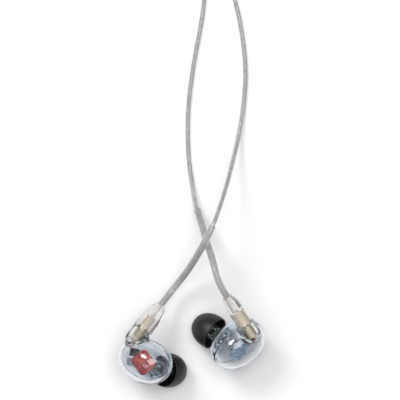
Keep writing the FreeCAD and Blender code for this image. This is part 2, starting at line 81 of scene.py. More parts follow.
class Side:
    """One ear's frames, read from its swivel and its ear tip's slide."""

    def __init__(self, name, mirror, boot_roll):
        self.name, self.mirror = name, mirror
        self.out = unit(joints[name + "_swivel"]["axis"])
        self.sound = unit(joints[name + "_tip_pull"]["axis"])
        self.mouth = np.array(joints[name + "_swivel"]["pos_m"]) / MM
        self.local_mouth = np.array([-5.4 * mirror, 10.4, 1.2])
        self.local_flange = np.array([4.0 * mirror, -1.8, -12.6])
        self.local_out = np.array([0, math.cos(SOCKET_TILT), -math.sin(SOCKET_TILT)])
        self.local_sound = unit((mirror * math.sin(NOZZLE_TILT), NOZZLE_LIFT,
                                 -math.cos(NOZZLE_TILT)))
        self.turn = basis(self.out, self.sound) @ basis(self.local_out, self.local_sound).T
        self.seam = self.mouth - self.turn @ self.local_mouth
        self.flange = self.seam + self.turn @ self.local_flange
        across = self.turn @ np.array([1.0, 0, 0])
        roll = math.radians(boot_roll)
        up = np.cross(self.out, across)
        wide = across * math.cos(roll) + up * math.sin(roll)
        self.boot = np.column_stack([wide, np.cross(self.out, wide), self.out])

    def place(self, point, turn=0.0):
        """Matrix, in metres, of a piece at a point of the shell, turned about the shell's z."""
        local = Matrix.Translation(Vector(point) * MM) @ Matrix.Rotation(turn, 4, "Z")
        return matrix(self.turn, self.seam) @ local


def matrix(turn, origin):
    """4x4 matrix in metres from a numpy turn and an origin in millimetres."""
    whole = Matrix([list(row) for row in turn]).to_4x4()
    whole.translation = Vector(origin) * MM
    return whole


def along(origin, axis):
    """Frame at an origin in millimetres whose Z runs along axis."""
    axis = unit(axis)
    helper = (0, 0, 1) if abs(axis[2]) < 0.9 else (1, 0, 0)
    wide = unit(np.cross(helper, axis))
    return matrix(np.column_stack([wide, np.cross(axis, wide), axis]), origin)


SIDES = [Side("right", 1, 0), Side("left", -1, 90)]


# ---------------------------------------------------------------- materials

def shader(name, colour, roughness, **sockets):
    """A Principled material; sockets are given with _ for a space."""
    made = bpy.data.materials.new(name)
    made.use_nodes = True
    bsdf = made.node_tree.nodes["Principled BSDF"]
    bsdf.inputs["Base Color"].default_value = (*colour, 1)
    bsdf.inputs["Roughness"].default_value = roughness
    for socket, value in sockets.items():
        bsdf.inputs[socket.replace("_", " ")].default_value = value
    return made


def node(made, kind, **settings):
    added = made.node_tree.nodes.new(kind)
    for key, value in settings.items():
        if key in added.inputs:
            added.inputs[key].default_value = value
        else:
            setattr(added, key, value)
    return added


def link(made, source, target):
    made.node_tree.links.new(source, target)


def grain(made, scale, detail=3.0, stretch=(1, 1, 1)):
    """Noise in object coordinates, scale being repeats per metre."""
    where = node(made, "ShaderNodeTexCoord")
    mapping = node(made, "ShaderNodeMapping")
    mapping.inputs["Scale"].default_value = stretch
    noise = node(made, "ShaderNodeTexNoise", Scale=scale, Detail=detail)
    link(made, where.outputs["Object"], mapping.inputs["Vector"])
    link(made, mapping.outputs["Vector"], noise.inputs["Vector"])
    return noise.outputs["Fac"]


def bump(made, height, strength, distance):
    bumped = node(made, "ShaderNodeBump", Strength=strength, Distance=distance)
    link(made, height, bumped.inputs["Height"])
    link(made, bumped.outputs["Normal"], made.node_tree.nodes["Principled BSDF"].inputs["Normal"])


def vary(made, fac, socket, low, high):
    """Drives a number socket between low and high by a 0 to 1 pattern."""
    spread = node(made, "ShaderNodeMapRange")
    spread.inputs["From Min"].default_value = 0.3
    spread.inputs["From Max"].default_value = 0.7
    spread.inputs["To Min"].default_value = low
    spread.inputs["To Max"].default_value = high
    link(made, fac, spread.inputs["Value"])
    link(made, spread.outputs["Result"], made.node_tree.nodes["Principled BSDF"].inputs[socket])


def tint(made, fac, dark, light):
    """Drives the base colour between two colours by a 0 to 1 pattern."""
    ramp = node(made, "ShaderNodeValToRGB")
    ramp.color_ramp.elements[0].position, ramp.color_ramp.elements[1].position = 0.35, 0.65
    ramp.color_ramp.elements[0].color = (*dark, 1)
    ramp.color_ramp.elements[1].color = (*light, 1)
    link(made, fac, ramp.inputs["Fac"])
    link(made, ramp.outputs["Color"], made.node_tree.nodes["Principled BSDF"].inputs["Base Color"])


def clear_plastic(name, colour, roughness, ior, wave, clearness=1.0, smoke=None):
    """Clear moulded plastic with a moulding's faint waviness; less clearness makes it milky, and
    smoke is the colour that light takes on along a deep path through it."""
    made = shader(name, colour, roughness, Transmission_Weight=clearness, IOR=ior)
    vary(made, grain(made, 900), "Roughness", roughness, roughness + 0.03)
    bump(made, grain(made, 160, 1.0), wave, 0.0004)
    if smoke:
        depth = node(made, "ShaderNodeVolumeAbsorption", Color=(*smoke, 1), Density=105)
        surface = made.node_tree.nodes["Material Output"]
        link(made, depth.outputs["Volume"], surface.inputs["Volume"])
    return made


def metal(name, dark, light, roughness, scale, stretch=(1, 1, 1)):
    """Plated or drawn metal with fine drawing marks."""
    made = shader(name, light, roughness, Metallic=1.0)
    marks = grain(made, scale, 4.0, stretch)
    tint(made, marks, dark, light)
    vary(made, grain(made, scale * 0.6), "Roughness", roughness, roughness + 0.15)
    bump(made, marks, 0.12, 0.00004)
    return made


def moulded(name, dark, light, roughness, scale, **sockets):
    """Opaque moulded plastic or rubber with a fine skin texture."""
    made = shader(name, light, roughness, **sockets)
    tint(made, grain(made, scale * 0.3), dark, light)
    skin_marks = grain(made, scale, 5.0)
    vary(made, skin_marks, "Roughness", roughness - 0.06, roughness + 0.1)
    bump(made, skin_marks, 0.15, 0.00005)
    return made


def jewelled_painted_highlights(name, dark, light):
    """Glossy translucent moulding whose many small faces catch the light; its colour is blotched at
    random between its body colour and a lighter painted highlight colour.
    """
    made = shader(name, light, 0.12, Transmission_Weight=0.25, IOR=1.5, Coat_Weight=0.6)
    # Painted highlights: the base colour swings at random between the body colour (dark) and a
    # painted highlight colour (light).
    tint(made, grain(made, 520), dark, light)
    vary(made, grain(made, 900), "Roughness", 0.08, 0.2)
    where = node(made, "ShaderNodeTexCoord")
    cells = node(made, "ShaderNodeTexVoronoi", Scale=720)
    link(made, where.outputs["Object"], cells.inputs["Vector"])
    bump(made, cells.outputs["Distance"], 0.8, 0.0005)
    return made


CLEAR = clear_plastic("clear_shell", (0.95, 0.955, 0.975), 0.02, 1.5, 0.35,
                      smoke=(0.52, 0.55, 0.60))
BLUE = clear_plastic("blue_shell", (0.93, 0.96, 0.98), 0.03, 1.5, 0.10, smoke=(0.40, 0.66, 0.86))
NOZZLE = clear_plastic("clear_nozzle", (0.93, 0.95, 0.98), 0.04, 1.45, 0.05)
BOOT = clear_plastic("clear_boot", (0.95, 0.92, 0.91), 0.10, 1.45, 0.30, 0.84)
SLEEVE = clear_plastic("clear_sleeve", (0.90, 0.895, 0.88), 0.10, 1.42, 0.15, 0.75)
JACKET = clear_plastic("clear_cord", (0.90, 0.895, 0.88), 0.10, 1.42, 0.15, 0.80)
SILICONE = moulded("black_silicone", (0.006, 0.006, 0.007), (0.012, 0.012, 0.013), 0.45, 5000)
# The second, lighter colour of each carrier is a painted highlight colour, blotched in at random.
RED = jewelled_painted_highlights("red_carrier", (0.42, 0.01, 0.05), (0.95, 0.13, 0.08))
NAVY = jewelled_painted_highlights("blue_carrier", (0.20, 0.36, 0.56), (0.48, 0.66, 0.84))
STEEL = metal("driver_steel", (0.42, 0.43, 0.46), (0.70, 0.71, 0.74), 0.22, 900, (1, 6, 1))
GOLD = metal("gold_plate", (1.0, 0.84, 0.52), (1.0, 0.95, 0.78), 0.30, 1400)
STRANDS = moulded("wound_strands", (0.40, 0.39, 0.38), (0.66, 0.65, 0.63), 0.35, 1800)
INSULATOR = moulded("insulator", (0.62, 0.60, 0.56), (0.78, 0.76, 0.72), 0.45, 2500)
BOARD = moulded("board", (0.03, 0.032, 0.036), (0.09, 0.092, 0.10), 0.30, 2500)
CHIP = moulded("board_parts", (0.02, 0.02, 0.02), (0.05, 0.05, 0.05), 0.4, 2500)
DUCT = moulded("duct", (0.30, 0.32, 0.35), (0.45, 0.47, 0.50), 0.4, 1500, Transmission_Weight=0.3)
MESH = metal("mesh_steel", (0.30, 0.30, 0.31), (0.60, 0.60, 0.62), 0.3, 2500)
DAMPER = moulded("damper", (0.10, 0.22, 0.12), (0.18, 0.35, 0.20), 0.6, 3000)
WIRE = moulded("wire", (0.45, 0.06, 0.05), (0.65, 0.12, 0.09), 0.4, 2500)
GREY = moulded("grey_fitting", (0.30, 0.30, 0.31), (0.36, 0.36, 0.37), 0.45, 3500)
DARK = moulded("plug_body", (0.018, 0.018, 0.020), (0.035, 0.035, 0.038), 0.4, 3500)


# ---------------------------------------------------------------- mesh helpers

def add(name, data, made, body):
    """Puts a mesh or curve in the scene as a piece of a body."""
    piece = bpy.data.objects.new(name, data)
    bpy.context.scene.collection.objects.link(piece)
    data.materials.append(made)
    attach(piece, body)
    return piece


def skin(field, low, high, step):
    """Quads on the surface where field(x, y, z) is 0, in shell millimetres: a surface net whose
    points are then moved onto the surface. Returns points, faces and normals."""
    grid = [np.arange(a, b + step, step) for a, b in zip(low, high)]
    value = field(*np.meshgrid(*grid, indexing="ij"))
    inside = value < 0
    cells = [count - 1 for count in value.shape]
    total = np.zeros(cells)
    place = np.zeros(cells + [3])
    corner = np.stack(np.meshgrid(*[axis[:-1] for axis in grid], indexing="ij"), axis=-1)
    crossings = []
    for axis in range(3):
        low_end = [slice(None)] * 3
        high_end = [slice(None)] * 3
        low_end[axis], high_end[axis] = slice(0, -1), slice(1, None)
        before, after = value[tuple(low_end)], value[tuple(high_end)]
        crossed = inside[tuple(low_end)] != inside[tuple(high_end)]
        share = np.where(crossed, before / np.where(crossed, before - after, 1), 0)
        crossings.append(crossed)
        others = [other for other in range(3) if other != axis]
        for first in (0, 1):
            for second in (0, 1):
                window = [slice(None)] * 3
                window[others[0]] = slice(first, first + cells[others[0]])
                window[others[1]] = slice(second, second + cells[others[1]])
                hit = crossed[tuple(window)]
                offset = np.zeros(cells + [3])
                offset[..., axis] = share[tuple(window)]
                offset[..., others[0]] = first
                offset[..., others[1]] = second
                place += hit[..., None] * offset
                total += hit
    active = total > 0
    number = np.full(cells, -1)
    number[active] = np.arange(active.sum())
    points = corner[active] + step * place[active] / total[active][:, None]
    faces = []
    for axis in range(3):
        first, second = (axis + 1) % 3, (axis + 2) % 3
        index = np.argwhere(crossings[axis])
        inner = np.all([(index[:, other] > 0) & (index[:, other] < value.shape[other] - 1)
                        for other in (first, second)], axis=0)
        index = index[inner]
        ring = []
        for step_first, step_second in ((1, 1), (0, 1), (0, 0), (1, 0)):
            at = index.copy()
            at[:, first] -= step_first
            at[:, second] -= step_second
            ring.append(number[tuple(at.T)])
        ring = np.stack(ring, axis=1)
        flip = ~inside[tuple(index.T)]
        ring[flip] = ring[flip][:, ::-1]
        faces.append(ring)
    for _ in range(4):
        distance, slope = field(*points.T), gradient(field, points)
        points -= (distance / np.maximum((slope ** 2).sum(1), 1e-6))[:, None] * slope
    slope = gradient(field, points)
    normals = slope / np.linalg.norm(slope, axis=1)[:, None]
    return points, np.concatenate(faces), normals


def gradient(field, points, reach=0.01):
    slope = np.zeros_like(points)
    for axis in range(3):
        ahead, behind = points.copy(), points.copy()
        ahead[:, axis] += reach
        behind[:, axis] -= reach
        slope[:, axis] = (field(*ahead.T) - field(*behind.T)) / (2 * reach)
    return slope


def net_mesh(name, field, low, high, step, turn, origin):
    """Mesh of a field's surface, carried from local millimetres into the row frame."""
    points, faces, normals = skin(field, low, high, step)
    mesh = bpy.data.meshes.new(name)
    mesh.from_pydata((points @ turn.T + origin) * MM, [], faces.tolist())
    mesh.shade_smooth()
    mesh.normals_split_custom_set_from_vertices((normals @ turn.T).tolist())
    return mesh


def lathe(name, outline, place, segments):
    """Closed outline of (radius, height) in millimetres, turned about the Z of a placement."""
    mesh = bpy.data.meshes.new(name)
    bm = bmesh.new()
    rings = []
    for radius, height in outline:
        if radius < 1e-6:
            rings.append([bm.verts.new((0, 0, height * MM))])
            continue
        rings.append([bm.verts.new((radius * MM * math.cos(angle), radius * MM * math.sin(angle),
                                    height * MM))
                      for angle in np.linspace(0, 2 * math.pi, segments, endpoint=False)])
    pairs = list(zip(rings, rings[1:]))
    if len(rings[0]) > 1:
        pairs.append((rings[-1], rings[0]))
    for lower, upper in pairs:
        for index in range(segments):
            following = (index + 1) % segments
            corners = [lower[index % len(lower)], lower[following % len(lower)],
                       upper[following % len(upper)], upper[index % len(upper)]]
            unique = list(dict.fromkeys(corners))
            if len(unique) > 2:
                bm.faces.new(unique)
    bmesh.ops.recalc_face_normals(bm, faces=bm.faces)
    bm.to_mesh(mesh)
    bm.free()
    mesh.transform(place)
    mesh.shade_smooth()
    return mesh


def smooth_outline(points, rounds):
    """Cuts an outline's corners (Chaikin) so many times, keeping its two ends."""
    for _ in range(rounds):
        cut = [points[0]]
        for (r0, z0), (r1, z1) in zip(points, points[1:]):
            cut.append((0.75 * r0 + 0.25 * r1, 0.75 * z0 + 0.25 * z1))
            cut.append((0.25 * r0 + 0.75 * r1, 0.25 * z0 + 0.75 * z1))
        cut.append(points[-1])
        points = cut
    return points


def bevelled(piece, width):
    """Rounds a piece's sharp edges."""
    rounding = piece.modifiers.new("edges", "BEVEL")
    rounding.width = width * MM
    rounding.segments = 3
    rounding.limit_method = "ANGLE"
    rounding.harden_normals = True
    return piece


def blocks(name, parts, place):
    """One mesh of separate boxes, each (middle, size) in millimetres."""
    mesh = bpy.data.meshes.new(name)
    bm = bmesh.new()
    for middle, size in parts:
        made = bmesh.ops.create_cube(bm, size=MM)["verts"]
        bmesh.ops.scale(bm, vec=Vector(size), verts=made)
        bmesh.ops.translate(bm, vec=Vector(middle) * MM, verts=made)
    bm.to_mesh(mesh)
    bm.free()
    mesh.transform(place)
    mesh.shade_smooth()
    return mesh


# ---------------------------------------------------------------- cords

def route_curve(name, points, radius):
    """One open NURBS spline through given points, in millimetres."""
    curve = bpy.data.curves.new(name, "CURVE")
    curve.dimensions = "3D"
    spline = curve.splines.new("NURBS")
    spline.points.add(len(points) - 1)
    for target, point in zip(spline.points, points):
        target.co = (*[value * MM for value in point], 1)
    spline.order_u = 3
    spline.use_endpoint_u = True
    spline.resolution_u = 10
    curve.bevel_depth = radius * MM
    curve.bevel_resolution = 7
    curve.use_fill_caps = True
    return curve


def line_of(curve):
    """Points along a curve's own line, in millimetres."""
    bare = curve.copy()
    bare.bevel_depth = 0
    probe = bpy.data.objects.new("probe", bare)
    bpy.context.scene.collection.objects.link(probe)
    bpy.context.view_layer.update()
    graph = bpy.context.evaluated_depsgraph_get()
    mesh = bpy.data.meshes.new_from_object(probe.evaluated_get(graph))
    line = np.array([vertex.co for vertex in mesh.vertices]) / MM
    bpy.data.objects.remove(probe)
    return line


def even(line, pitch):
    """The same line in steps of about pitch, with its running length."""
    run = np.concatenate([[0], np.cumsum(np.linalg.norm(np.diff(line, axis=0), axis=1))])
    steps = np.linspace(0, run[-1], max(3, int(run[-1] / pitch)))
    return np.column_stack([np.interp(steps, run, line[:, axis]) for axis in range(3)]), steps


def carried_frames(line):
    """Directions square to a line at each of its points, carried along without twist."""
    ahead = np.gradient(line, axis=0)
    ahead /= np.linalg.norm(ahead, axis=1)[:, None]
    side = unit(np.cross(ahead[0], (0.3, 0.5, 1.0)))
    sides = []
    for direction in ahead:
        side = unit(side - direction * (side @ direction))
        sides.append(side)
    sides = np.array(sides)
    return sides, np.cross(ahead, sides)


def tubes_along(name, line, sections):
    """Mesh of tubes along a line. Each section is arrays of offset x, offset y and radius, one
    value for each point of the line, and the number of corners round the tube."""
    sides, ups = carried_frames(line)
    points, faces = [], []
    for x, y, radius, count in sections:
        angles = np.linspace(0, 2 * math.pi, count, endpoint=False)
        start = len(points)
        for index, middle in enumerate(line):
            for angle in angles:
                here_x = x[index] + radius[index] * math.cos(angle)
                here_y = y[index] + radius[index] * math.sin(angle)
                points.append(middle + sides[index] * here_x + ups[index] * here_y)
        for index in range(len(line) - 1):
            for corner in range(count):
                following = (corner + 1) % count
                low, high = start + index * count, start + (index + 1) * count
                faces.append((low + corner, low + following, high + following, high + corner))
        faces.append(tuple(start + corner for corner in reversed(range(count))))
        last = start + (len(line) - 1) * count
        faces.append(tuple(last + corner for corner in range(count)))
    mesh = bpy.data.meshes.new(name)
    mesh.from_pydata(np.array(points) * MM, [], faces)
    mesh.shade_smooth()
    return mesh


# Points in each turn of a coil, and where in a turn it starts moving to the next one's place and
# for how much of the turn.
PER_TURN = 16
MOVE_START, MOVE_SHARE = 0.7, 0.2


def coil_points(centre, radius_height, start, sign):
    """Points round a centre, each turn at its own radius and height; a turn moves to the next
    one's place over its last part."""
    points = []
    turns = len(radius_height)
    for turn in range(turns):
        radius, height = radius_height[turn]
        following = radius_height[min(turn + 1, turns - 1)]
        for count in range(PER_TURN):
            share = count / PER_TURN
            moved = min(1.0, max(0.0, (share - MOVE_START) / MOVE_SHARE))
            moved = moved * moved * (3 - 2 * moved)
            reach = (radius + (following[0] - radius) * moved) / math.cos(math.pi / PER_TURN)
            angle = start + sign * 2 * math.pi * share
            points.append((centre[0] + reach * math.cos(angle), centre[1] + reach * math.sin(angle),
                           height + (following[1] - height) * moved))
    return points


# Routes, as the CAD has them. Each ear cord leaves its boot inside the formable sleeve.
SLEEVE_ROUTE = {
    "right": [(-5.7, 21.5, 9.4), (-2.7, 25.3, 12.2), (-0.1, 29.1, 17.0), (2.1, 32.7, 22.0),
              (4.3, 36.5, 25.6), (6.9, 41.5, 27.0)],
    "left": [(9.1, 27.3, 29.0), (7.9, 32.1, 26.2), (6.7, 35.7, 21.6), (5.5, 39.5, 16.0),
             (4.4, 43.5, 11.0), (3.2, 47.3, 7.2)],
}
FIRST_RUN = 5.4
CORD_ROUTE = {
    "right": [(9.5, 47.5, 26.2), (11.7, 54.0, 21.4), (13.7, 60.4, 14.6), (15.9, 68.6, 7.6),
              (18.2, 78.0, 2.6), (20.2, 89.5, 0.8), (21.4, 105.0, 0.8), (19.4, 122.0, 0.8),
              (15.8, 137.0, 0.8), (11.0, 149.0, 0.8), (8.2, 159.0, 0.8)],
    "left": [(1.4, 53.1, 3.4), (0.1, 61.2, 0.9), (-1.5, 73.4, 0.8), (-1.5, 90.2, 0.8),
             (0.8, 108.0, 0.8), (4.0, 124.0, 0.8), (5.2, 135.0, 0.8)],
}
LEAD_ROUTE = {
    "right": [(7.8, 175.4, 2.0), (8.0, 181.9, 2.2), (8.0, 211.4, 2.2)],
    "left": [(4.6, 154.4, 1.7), (4.5, 168.4, 1.6), (4.9, 181.4, 2.2), (4.9, 211.4, 2.2)],
}
COIL_TURN = 9.6
COIL_CENTRE = {"right": (8.0 + COIL_TURN, 168.4), "left": (4.9 - COIL_TURN, 144.4)}
COIL_LAYS = [(9.6, 0.8), (8.0, 0.8), (8.0, 2.4)]


def conductors(name, curve, pitch, lead, offset, radius):
    """Three wires wound round each other inside a cord's jacket, one turn to each lead. Returns
    the piece and the line that it follows."""
    line, run = even(line_of(curve), pitch)
    sections = []
    for count in range(3):
        phase = run * 2 * math.pi / lead + count * 2 * math.pi / 3
        thick = np.full(len(line), radius)
        sections.append((offset * np.cos(phase), offset * np.sin(phase), thick, 8))
    mesh = tubes_along(name, line, sections)
    return add(name, mesh, STRANDS, "cable"), line


def ear_cord(side):
    name = side.name
    exit_point = side.mouth + side.out * BOOT_LENGTH
    points = [exit_point, side.mouth + side.out * (BOOT_LENGTH + FIRST_RUN)]
    points += SLEEVE_ROUTE[name]
    sleeve_end = (np.array(points[-1]) + np.array(CORD_ROUTE[name][0])) / 2
    points += CORD_ROUTE[name]
    start, sign = (math.pi, -1) if name == "right" else (0.0, 1)
    points += coil_points(COIL_CENTRE[name], COIL_LAYS, start, sign)
    straight_x, coil_y = LEAD_ROUTE[name][-1][0], COIL_CENTRE[name][1]
    points += [(straight_x, coil_y, 3 * CORD_RADIUS)] + LEAD_ROUTE[name]
    curve = route_curve(name + "_ear_cord_jacket", points, CORD_RADIUS)
    jacket = add(curve.name, curve, JACKET, "cable")
    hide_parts(name + "_ear_cord", name + "_cord_coil")

    wires, line = conductors(name + "_conductors", curve, 0.5, 4.4, 0.31, 0.26)

    reach = np.argmin(np.linalg.norm(line - sleeve_end, axis=1))
    sleeve_line = line[:reach + 1]
    flat = np.zeros(len(sleeve_line))
    outside = np.full(len(sleeve_line), SLEEVE_RADIUS)
    mesh = tubes_along(name + "_formable_sleeve", sleeve_line, [(flat, flat, outside, 32)])
    sleeve = add(name + "_formable_sleeve", mesh, SLEEVE, "cable")
    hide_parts(name + "_memory_sleeve")
    with_pieces = [sleeve, wires]
    if name == "right":
        with_pieces += ["splitter", "chin_slider"]


LINE_X, SPLITTER_END, SPLIT_Z = 6.45, 224.4, 2.2
MAIN_TURN = 17.1
MAIN_TURNS = (MAIN_TURN, 14.5, 11.9)
MAIN_LAYERS = 4
# The last turn lies in the groove on top of the others and ends a quarter turn short.
TOP_TURN = (MAIN_TURN - MAIN_RADIUS, 8.7 * MAIN_RADIUS)
MAIN_CENTRE = (LINE_X - MAIN_TURN, 259.4)


def main_cord():
    entry = [(LINE_X, SPLITTER_END + 8, SPLIT_Z), (LINE_X, SPLITTER_END + 14, SPLIT_Z),
             (LINE_X + 0.3, SPLITTER_END + 24, MAIN_RADIUS)]
    lays = []
    for layer in range(MAIN_LAYERS):
        height = MAIN_RADIUS * (1 + 2 * layer)
        order = MAIN_TURNS if layer % 2 == 0 else MAIN_TURNS[::-1]
        lays += [(radius, height) for radius in order]
    wound = coil_points(MAIN_CENTRE, lays + [TOP_TURN], 0.0, 1)[:-PER_TURN // 4]
    leave = [(MAIN_CENTRE[0], MAIN_CENTRE[1] - MAIN_TURN, 7 * MAIN_RADIUS),
             (0.5, 241.8, 9.2), (9.4, 243.6, 8.2), (16.0, 249.0, 6.4), (20.0, 257.0, 4.8),
             (21.0, 264.5, 4.1), (21.0, 271.5, 4.1)]
    curve = route_curve("main_cord_jacket", entry + wound + leave, MAIN_RADIUS)
    cord = add("main_cord_jacket", curve, JACKET, "cable")
    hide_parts("main_cord", "main_cord_coil")
    wires, _ = conductors("main_conductors", curve, 0.9, 7.0, 0.52, 0.44)


# ---------------------------------------------------------------- shell fields

def smooth_max(a, b, width):
    share = np.clip(0.5 + 0.5 * (a - b) / width, 0, 1)
    return b * (1 - share) + a * share + width * share * (1 - share)


def smooth_min(a, b, width):
    return -smooth_max(-a, -b, width)


def off_axis(x, y, z, start, axis):
    """Distance along an axis from its start, and distance from the axis."""
    dx, dy, dz = x - start[0], y - start[1], z - start[2]
    run = dx * axis[0] + dy * axis[1] + dz * axis[2]
    square = dx ** 2 + dy ** 2 + dz ** 2 - run ** 2
    return run, np.sqrt(np.maximum(square, 0))


def rod(x, y, z, start, axis, radius, low, high):
    """A round bar from low to high along an axis, its end edges rounded."""
    run, away = off_axis(x, y, z, start, axis)
    return smooth_max(smooth_max(away - radius, low - run, 0.15), run - high, 0.15)


def egg(x, y, z, shrink=0.0):
    """The shell's rounded outside, or its cavity when shrunk by the wall."""
    depth = np.where(z > 0, OUTER_DEPTH, INNER_DEPTH) - shrink
    reach = (np.abs(x / (SHELL_X - shrink)) ** SHELL_POWER
             + np.abs(y / (SHELL_Y - shrink)) ** SHELL_POWER
             + np.abs(z / depth) ** SHELL_POWER) ** (1 / SHELL_POWER)
    return (reach - 1) * (SHELL_Y - shrink)


class Shell:
    """The two halves of one earpiece as fields in its own shell coordinates."""

    def __init__(self, side):
        self.side = side

    def neck(self, x, y, z):
        side = self.side
        run, away = off_axis(x, y, z, side.local_flange, side.local_sound)
        share = np.clip((run + NECK_GAP + NECK_LENGTH) / NECK_LENGTH, -0.8, 1.0)
        cone = (away - NECK_BASE - (NECK_END - NECK_BASE) * share) * 0.96
        return smooth_max(cone, run + NECK_GAP, 0.5)

    def inner_body(self, x, y, z):
        half = smooth_max(egg(x, y, z), z, 0.25)
        return smooth_min(half, smooth_max(self.neck(x, y, z), z + 2.0, 0.25), 1.2)

    def inner(self, x, y, z):
        side = self.side
        body = self.inner_body(x, y, z - WELD)
        solid = smooth_max(body, -smooth_max(egg(x, y, z, WALL), z - 1.0, 0.2), 0.3)
        bore = rod(x, y, z, side.local_flange, side.local_sound, TUBE_RADIUS, -9.0, 4.0)
        return smooth_max(solid, -bore, 0.2)

    def outer(self, x, y, z):
        side = self.side
        dome = smooth_max(egg(x, y, z), -WELD - z, 0.25)
        run, away = off_axis(x, y, z, side.local_mouth, side.local_out)
        ball = np.sqrt(away ** 2 + np.minimum(run + BOSS_LENGTH, 0) ** 2) - BOSS_RADIUS
        boss = smooth_max(ball, run, 0.7)
        body = smooth_min(dome, boss, 1.4)
        body = smooth_max(body, -(self.inner_body(x, y, z) + WELD), 0.2)
        cavity = smooth_max(egg(x, y, z, WALL), -z - 1.0, 0.2)
        body = smooth_max(body, -cavity, 0.4)
        barrel = smooth_max(away - BARREL_RADIUS, -run - BARREL_DEPTH, 0.1)
        wire = smooth_max(away - WIRE_HOLE_RADIUS, -run - WIRE_HOLE_END, 0.1)
        return smooth_max(body, -np.minimum(barrel, wire), 0.15)


# Spacing of the grid on which the shells' surfaces are found.
SHELL_STEP = 0.19


def shells(side):
    shell = Shell(side)
    name, body = side.name, side.name + "_earpiece"
    outer = net_mesh(name + "_outer_half", shell.outer, (-12.4, -9.4, -4.0), (12.4, 14.9, 9.9),
                     SHELL_STEP, side.turn, side.seam)
    piece = add(name + "_outer_half", outer, CLEAR, body)
    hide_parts(name + "_outer_shell")
    inner = net_mesh(name + "_inner_half", shell.inner, (-12.4, -9.4, -13.0), (12.4, 9.4, 0.8),
                     SHELL_STEP, side.turn, side.seam)
    piece = add(name + "_inner_half", inner, BLUE, body)
    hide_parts(name + "_inner_shell")


def boot(side):
    """Clear oval grip over the plug, its core hollow round the plug's shell."""
    heights = (0.2, 4.5, 8.6, 11.6, BOOT_LENGTH)
    wides = (4.1, 4.15, 3.75, 3.0, 1.75)
    narrows = (3.05, 3.1, 2.85, 2.35, 1.65)

    def field(x, y, z):
        wide, narrow = np.interp(z, heights, wides), np.interp(z, heights, narrows)
        reach = np.sqrt((x / wide) ** 2 + (y / narrow) ** 2)
        oval = (reach - 1) * narrow
        body = smooth_max(smooth_max(oval, heights[0] - z, 0.8), z - heights[-1], 0.6)
        core = smooth_max(np.hypot(x, y) - 2.1, z - 6.2, 0.15)
        passage = smooth_max(np.hypot(x, y) - CORD_RADIUS, z - 20, 0.1)
        return smooth_max(body, -np.minimum(core, passage), 0.12)

    mesh = net_mesh(side.name + "_grip", field, (-4.6, -3.6, -0.4), (4.6, 3.6, 14.0),
                    SHELL_STEP * 0.8, side.boot, side.mouth)
    piece = add(side.name + "_grip", mesh, BOOT, "cable")
    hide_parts(side.name + "_boot")


# ---------------------------------------------------------------- pieces inside and on the shells

def ear_tip(side):
    """Silicone tip: a dome over a hollow skirt round a ribbed core."""
    corners = [(2.36, 0.2), (3.1, 0.2), (3.1, 4.2), (3.7, 5.0), (4.9, 4.5), (5.7, 2.6), (5.9, 0.9),
               (6.1, -0.9), (6.35, -1.15), (6.6, -0.95), (6.72, 0.6), (6.6, 2.6), (6.0, 4.8),
               (4.9, 6.6), (3.7, 7.8), (2.8, 8.3), (2.2, 8.25), (1.95, 7.8), (1.95, 5.7),
               (2.36, 5.5)]
    profile = smooth_outline(corners + corners[:1], 3)[:-1]
    mesh = lathe(side.name + "_silicone_tip", profile, along(side.flange, side.sound), 128)
    piece = add(mesh.name, mesh, SILICONE, side.name + "_tip")
    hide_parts(side.name + "_ear_tip")


def driver(side, part, size, point, turn):
    """A drawn metal can: two halves with a weld flange, a sound spout and solder pads."""
    m = side.mirror
    long, wide, tall = size
    parts = [((0, 0, 0.05 * tall), (long - 0.3, wide - 0.3, tall * 0.86)),
             ((0, 0, -0.08 * tall), (long, wide, 0.22)),
             ((m * (long / 2 - 0.15), 0, 0.1 * tall), (0.3, wide * 0.5, tall * 0.35)),
             ((-m * (long / 2 - 0.1), wide * 0.2, 0.12 * tall), (0.2, wide * 0.22, tall * 0.2)),
             ((-m * (long / 2 - 0.1), -wide * 0.2, 0.12 * tall), (0.2, wide * 0.22, tall * 0.2))]
    mesh = blocks(side.name + "_" + part + "_can", parts, side.place(point, turn))
    piece = add(mesh.name, mesh, STEEL, side.name + "_earpiece")
    bevelled(piece, 0.16)
    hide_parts(side.name + "_" + part + "_driver")


CARRIER_STEP = 0.132


